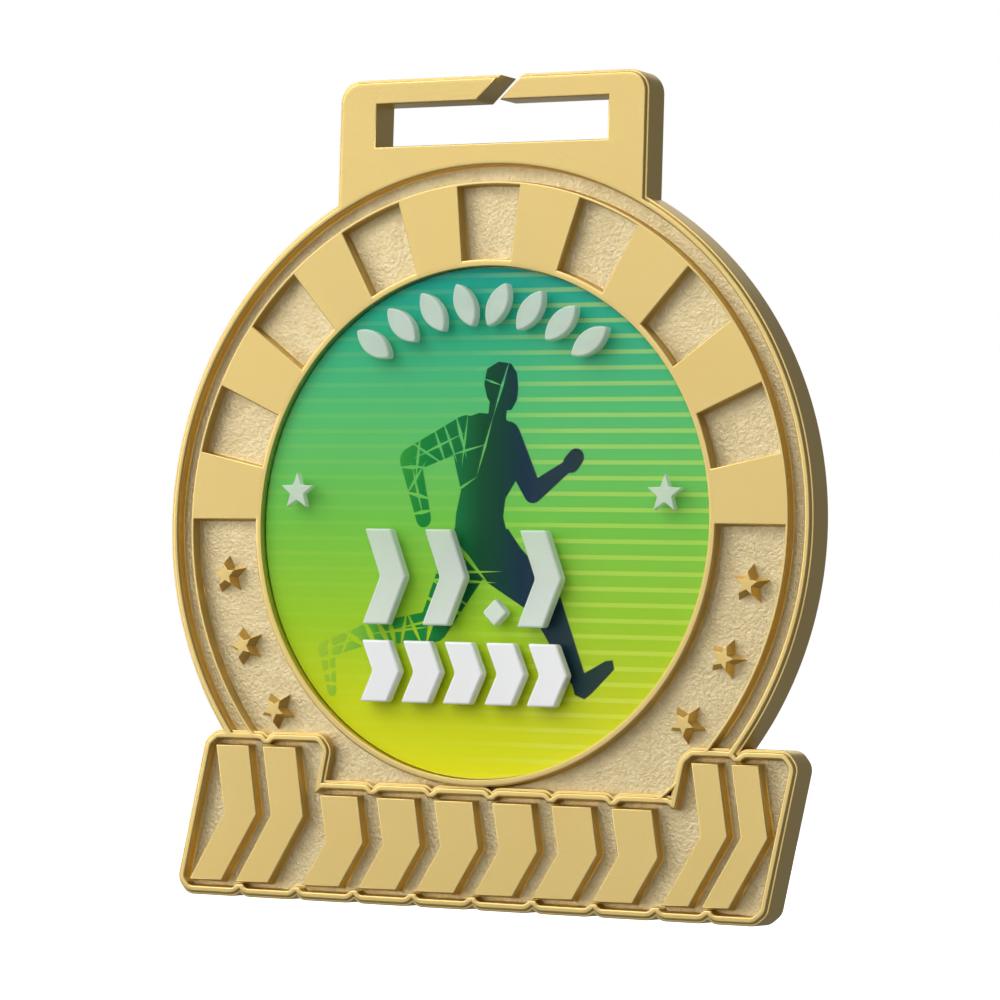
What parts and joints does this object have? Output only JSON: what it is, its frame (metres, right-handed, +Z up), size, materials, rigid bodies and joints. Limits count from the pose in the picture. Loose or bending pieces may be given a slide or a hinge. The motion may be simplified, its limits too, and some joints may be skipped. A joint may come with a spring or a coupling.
{
  "type": "finisher medal",
  "caption": "Upright gold-plated race finisher medal with a ribbon slot, relief ring with stars, stepped nameplate, and a resin-topped printed insert with raised marks.",
  "frame": {"origin": "centre of the ribbon slot, halfway through the casting's thickness", "axes": "+Z up towards the ribbon, -Y out of the printed front face, +X to the right of someone looking at the front"},
  "size_m": [0.073, 0.0046, 0.0829],
  "materials": {
    "gold_casting": "satin gold plate over die-cast zinc, with sandblasted recessed fields",
    "adhesive": "matte film",
    "print": "gloss full-colour print, teal at the top to yellow at the foot",
    "resin": "clear gloss resin",
    "mark_clear": "translucent white gloss, bevelled",
    "mark_white": "white gloss, bevelled"
  },
  "bodies": {
    "root": {"medal_casting": "gold_casting", "adhesive_film": "adhesive", "printed_disc": "print", "clear_resin": "resin", "star_left": "mark_clear", "star_right": "mark_clear", "garland_leaf_1": "mark_clear", "garland_leaf_2": "mark_clear", "garland_leaf_3": "mark_clear", "garland_leaf_4": "mark_clear", "garland_leaf_5": "mark_clear", "garland_leaf_6": "mark_clear", "garland_leaf_7": "mark_clear", "garland_leaf_8": "mark_clear", "tall_mark_1": "mark_clear", "tall_mark_2": "mark_clear", "tall_mark_3": "mark_clear", "tall_mark_4": "mark_clear", "row_mark_1": "mark_white", "row_mark_2": "mark_white", "row_mark_3": "mark_white", "row_mark_4": "mark_white", "row_mark_5": "mark_white"}
  },
  "joints": []
}
